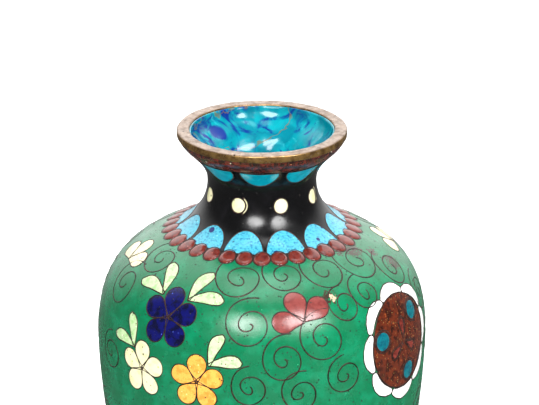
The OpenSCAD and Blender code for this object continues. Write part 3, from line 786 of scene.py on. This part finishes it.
def build_lining():
    """Glass on the inside: it follows the wall, covers the floor and rolls up inside the mouth ring."""
    inside_wall = OUTLINE[:, 1] > BASE_HIGH[2] + 2 * MM
    outer = (OUTLINE - NORMAL * (LINING_DEPTH - LINING_T))[inside_wall]
    inner = (OUTLINE - NORMAL * LINING_DEPTH)[inside_wall]
    outer = outer[outer[:, 1] < HEIGHT - RING_H]
    inner = inner[inner[:, 1] < HEIGHT - RING_H - 1.2 * MM]
    floor = BASE_HIGH[2]
    hairline = 0.02 * MM
    lip = inner_radius("brass_mouth_ring") - hairline
    rolled_top = [(0.42 * MM, RING_H), (0.4 * MM, 0.9 * MM), (0.2 * MM, 0.5 * MM)]
    outline = np.vstack([
        [[lip, HEIGHT - 0.45 * MM], [lip, HEIGHT - RING_H]],
        outer[::3],
        [[outer[-1][0], floor], [hairline, floor], [hairline, floor + LINING_T]],
        [[inner[-1][0], floor + LINING_T]],
        inner[::-3],
        [[lip - inward, HEIGHT - drop] for inward, drop in rolled_top],
    ])
    segments = 256
    points = revolve_points(outline, segments)
    angle = np.arctan2(points[:, 0], -points[:, 1])
    wave = 0.004 * np.sin(4 * angle + points[:, 2] / (3 * MM))
    ripple = 0.003 * np.sin(9 * angle - points[:, 2] / (2 * MM))
    free_face = np.repeat(np.arange(len(outline)) > len(outline) // 2, segments)
    points[free_face, :2] *= (1 + wave + ripple)[free_face][:, None]
    faces = grid_faces(len(outline), segments, True, True)
    add_piece("lining", points, faces, MATERIALS["lining"], ["interior_lining"], sharp=50)


# ---------------------------------------------------------------- ornament

# The CAD's scroll: its first angle and sweep in degrees, and the part of its size that it loses on the way.
CAD_START = 145
CAD_SWEEP = 640
CAD_SHRINK = 0.84
# The wire here goes most of a turn at full width and then curls in: its reach, as a part of its size, at
# a row of angles.
TURNS = [70, 110, 145, 200, 290, 370, 450, 530, 620, 720, 790]
REACHES = [1.75, 1.36, 1.12, 1.0, 1.0, 1.0, 0.74, 0.42, 0.33, 0.27, 0.12]
# Scrolls of one face that sit among the flowers: angle in degrees, arc length and radius in mm.
SCROLLS = [
    (-60, 33.2, 4.1), (-11.5, 33.4, 4.6), (10.5, 32.4, 4.0), (32, 32.7, 4.4), (55, 32.9, 4.6),
    (71, 38.7, 4.0), (-68.5, 42.4, 4.2), (-5.2, 44.4, 4.4), (33.6, 41.8, 3.3), (45.6, 40.5, 3.3),
    (22, 48.2, 4.5), (7.3, 52.2, 4.1), (29.6, 57.2, 3.6), (-4.5, 58.4, 3.7), (13, 60, 3.6),
    (-66, 58, 3.6), (82, 47.5, 3.6), (86, 58, 3.6),
]
# Below this arc length the rows of scrolls follow the CAD.
ROWS_FROM = 66 * MM


def cad_spiral(t):
    """The CAD's scroll of unit size: t from 0 at the outer end to 1 at the inner end."""
    turn = np.radians(CAD_START + CAD_SWEEP * t)
    return (1 - CAD_SHRINK * t)[:, None] * np.stack([np.cos(turn), np.sin(turn)], axis=1)


def scroll_places(node):
    """Angle, arc length and radius of each scroll in a CAD node."""
    unit = cad_spiral(np.linspace(0, 1, 400))
    low, high = unit.min(axis=0), unit.max(axis=0)
    places = []
    for loop in outer_loops(node):
        angle, arc = locate(loop)
        middle = middle_angle(angle)
        angle = middle + from_middle(angle, middle)
        r = radius((arc.min() + arc.max()) / 2)
        wide = (angle.max() - angle.min()) * r
        tall = arc.max() - arc.min()
        size = (wide / (high[0] - low[0]) + tall / (high[1] - low[1])) / 2
        if size > 2 * MM:
            centre = (angle.max() + angle.min()) / 2 - size * (high[0] + low[0]) / 2 / r
            places.append((centre, (arc.max() + arc.min()) / 2 + size * (high[1] + low[1]) / 2, size))
    return places


def flat_to_surface(angle, arc, offsets):
    """Points at offsets (right, up) over the surface from a place."""
    spot = arc - offsets[:, 1]
    return on_surface(angle + offsets[:, 0] / radius(spot), spot)


def scroll_path(angle, arc, size):
    """A spiral wire: a tail at the upper left, most of a turn at full width, then a small curl inside."""
    turn = np.linspace(TURNS[0] + rng.uniform(0, 25), TURNS[-1] - rng.uniform(0, 60), 130)
    reach = np.interp(turn, TURNS, REACHES)
    blur = 12
    window = 2 * blur + 1
    reach = np.convolve(np.pad(reach, blur, mode="edge"), np.full(window, 1 / window), mode="valid")
    bend = (reach * size)[:, None] * np.stack([np.cos(np.radians(turn)), np.sin(np.radians(turn))], axis=1)
    for k in (1, 2, 3):
        wave = np.sin(np.linspace(0, TURN * k, len(turn)) + any_phase())
        bend += wave[:, None] * rng.normal(0, 0.09 * MM, 2)
    return flat_to_surface(angle, arc, bend)


def build_scrolls():
    builder = Builder()
    places = [p for p in scroll_places("wires_scrolls") if p[1] > ROWS_FROM]
    for face in (0, math.pi):
        places += [(math.radians(a) + face, arc * MM, size * MM) for a, arc, size in SCROLLS]
    for angle, arc, size in places:
        path = scroll_path(angle, arc, size)
        _, arcs = locate(path)
        clear_of_beads = arcs > AT["beads"] + 1.2 * MM
        add_wire(builder, path[clear_of_beads], closed=False, width=SCROLL_WIRE_W)
    builder.piece("wires_of_scrolls", MATERIALS["wire"], "wire", ["wires_scrolls"], sharp=70)


def build_ornament():
    collar = cells("collar_lappets", "collar_lappets_turquoise", "turquoise", "turquoise_enamel")
    wires("wires_collar_lappets", collar)
    dots = cells("neck_dots", "neck_dots_cream", "cream", "cream_enamel", rise=0.1 * MM)
    wires("wires_neck_dots", dots, THICK_WIRE_W)
    build_dot_slivers()
    lappets = cells("shoulder_lappets", "shoulder_lappets_blue", "light_blue", "light_blue_enamel",
                    shape=lambda loop: soften(stretched(loop, 1.0, 1.18, 0.55 * MM), 4))
    wires("wires_shoulder_lappets", lappets)
    beads = cells("shoulder_beads", "shoulder_beads_red", "brick_red", "brick_red_enamel",
                  rise=0.34 * MM, grow=0.1 * MM, unsure=0.06 * MM,
                  shape=lambda loop: stretched(loop, 1.07, 1.22))
    wires("wires_shoulder_beads", beads, THICK_WIRE_W)
    petals = []
    for colour, material, slot in (("blue", "cobalt", "cobalt_enamel"), ("cream", "cream", "cream_enamel"),
                                   ("yellow", "yellow", "yellow_enamel"), ("red", "rose", "rose_red_enamel")):
        petals += cells(f"petals_{colour}", f"flower_petals_{colour}", material, slot,
                        grow=0.22 * MM, unsure=0.08 * MM, shape=lambda loop: drawn_out(loop, 0.9 * MM))
    wires("wires_flowers", petals, THIN_WIRE_W)
    leaves = cells("leaves", "leaves_pale_green", "pale_green", "pale_green_enamel", unsure=0.07 * MM,
                   shape=lambda loop: drawn_out(loop, 1.3 * MM))
    wires("wires_leaves", leaves)
    discs = cells("medallion_discs", "medallion_discs_brown", "brown", "brown_enamel", rise=0.04 * MM)
    lobes = cells("medallion_petals", "medallion_petals_white", "white", "white_enamel",
                  grow=0.42 * MM, unsure=0.08 * MM)
    spots = cells("medallion_dots", "medallion_dots_teal", "teal", "teal_enamel", rise=0.12 * MM)
    florets = cells("medallion_florets", "medallion_florets_red", "brick_red", "dark_red_enamel",
                    rise=0.12 * MM)
    wires("wires_medallions", discs + lobes + spots + florets)
    foot = cells("foot_lappets", "foot_lappets_blue", "light_blue", "light_blue_enamel")
    wires("wires_foot_lappets", foot)


# Angles of the neck dots that have a sliver beside them. The back of the vase repeats them.
DOTS_WITH_SLIVERS = [-30, 66]


def crescent():
    """Flat outline of a crescent around a dot, leaning by chance."""
    far, near = 2.25 * MM, 1.85 * MM
    turn = np.linspace(-1.1, 1.1, 14)
    back = turn[::-1] * 0.75
    outer = far * np.stack([np.cos(turn), np.sin(turn)], axis=1)
    inner = near * np.stack([np.cos(back), np.sin(back)], axis=1) + [0.05 * MM, 0]
    lean = rng.uniform(-0.3, 0.6)
    spin = np.array([[math.cos(lean), -math.sin(lean)], [math.sin(lean), math.cos(lean)]])
    return np.vstack([outer, inner]) @ spin.T


def build_dot_slivers():
    """Small crescents of cream that lie against some of the neck dots."""
    patches, edges = Builder(), Builder()
    for loop in outlines("neck_dots_cream"):
        angle, arc = locate(loop)
        middle = middle_angle(angle)
        from_chosen = np.abs(np.sin(middle - np.radians(DOTS_WITH_SLIVERS))).min()
        if from_chosen > 0.1:
            continue
        path = soften(even(flat_to_surface(middle, arc.mean(), crescent()), 0.15 * MM), 1)
        add_patch(patches, path, 0.04 * MM)
        add_wire(edges, path, width=0.2 * MM)
    patches.piece("neck_dot_slivers", MATERIALS["cream"], "cream_enamel", sharp=60)
    edges.piece("wires_of_dot_slivers", MATERIALS["wire"], "wire", sharp=70)


def dress_cad_nodes():
    """The copper body and the enamel under its base stay as they are, with better materials."""
    for name in ("copper_neck", "copper_upper_body", "copper_lower_body", "copper_foot", "copper_base_plate"):
        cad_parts[name].material_slots[0].material = MATERIALS["copper"]
    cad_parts["base_counter_enamel"].material_slots[0].material = MATERIALS["lining"]


# ---------------------------------------------------------------- stage

def direction(side, rise):
    """Unit direction given by degrees around the vase from the front and degrees above level."""
    around, up = math.radians(side), math.radians(rise)
    return np.array([math.sin(around) * math.cos(up), -math.cos(around) * math.cos(up), math.sin(up)])


def aimed(obj, target, way, distance):
    """Puts a light or a camera at a distance from its target and turns it to the target."""
    obj.location = target + way * distance
    obj.rotation_euler = Vector(-way).to_track_quat("-Z", "Y").to_euler()
    bpy.context.scene.collection.objects.link(obj)


def build_floor():
    """A plain white floor that the gloss doesn't mirror."""
    bpy.ops.mesh.primitive_plane_add(size=8)
    floor = bpy.context.object
    floor.name = "floor"
    paper = Nodes("white floor")
    paper.link(linear(250, 250, 250), paper.shader.inputs["Base Color"])
    paper.link(0.8, paper.shader.inputs["Roughness"])
    paper.link(linear(255, 255, 255), paper.shader.inputs["Emission Color"])
    paper.link(0.2, paper.shader.inputs["Emission Strength"])
    floor.data.materials.append(paper.material)
    floor.visible_glossy = False


def build_sky():
    """White light that grows towards the upper back, so that the floor stays white and the front calm."""
    world = bpy.data.worlds.new("studio")
    bpy.context.scene.world = world
    world.use_nodes = True
    sky = world.node_tree
    where = sky.nodes.new("ShaderNodeTexCoord")
    behind = sky.nodes.new("ShaderNodeVectorMath")
    behind.operation = "DOT_PRODUCT"
    behind.inputs[1].default_value = (0, 0.7, 0.7)
    level = sky.nodes.new("ShaderNodeMapRange")
    level.interpolation_type = "SMOOTHSTEP"
    for key, value in (("From Min", 0.32), ("From Max", 1.1), ("To Min", 0.14), ("To Max", 3.2)):
        level.inputs[key].default_value = value
    sky.links.new(where.outputs["Generated"], behind.inputs[0])
    sky.links.new(behind.outputs["Value"], level.inputs["Value"])
    sky.links.new(level.outputs["Result"], sky.nodes["Background"].inputs["Strength"])
    sky.nodes["Background"].inputs["Color"].default_value = (1, 1, 1, 1)


def build_lights():
    """Two soft boxes in front and one above: name, degrees to the side, degrees up, size and power."""
    lit = np.array([0, 0, HEIGHT - 34 * MM])
    for name, side, rise, size, power in (
        ("left box", -13, 36, 0.37, 6.8),
        ("right box", 34, 36, 0.42, 8.6),
        ("top box", 5, 86, 0.6, 2.4),
    ):
        light = bpy.data.lights.new(name, "AREA")
        light.shape = "DISK"
        light.size = size
        light.energy = power
        aimed(bpy.data.objects.new(name, light), lit, direction(side, rise), 0.95)


def build_camera():
    """A far camera twenty degrees above level."""
    camera = bpy.data.cameras.new("camera")
    camera.sensor_width = 36
    camera.lens = 364
    camera.clip_end = 20
    eye = bpy.data.objects.new("camera", camera)
    aimed(eye, np.array([1.65 * MM, 0, HEIGHT - 17.5 * MM]), direction(0, 20.2), 1.2)
    bpy.context.scene.camera = eye
    bpy.context.scene.view_settings.view_transform = "Standard"


build_fields()
build_border_wires()
build_rings()
build_lining()
build_ornament()
build_scrolls()
dress_cad_nodes()
build_floor()
build_sky()
build_lights()
build_camera()
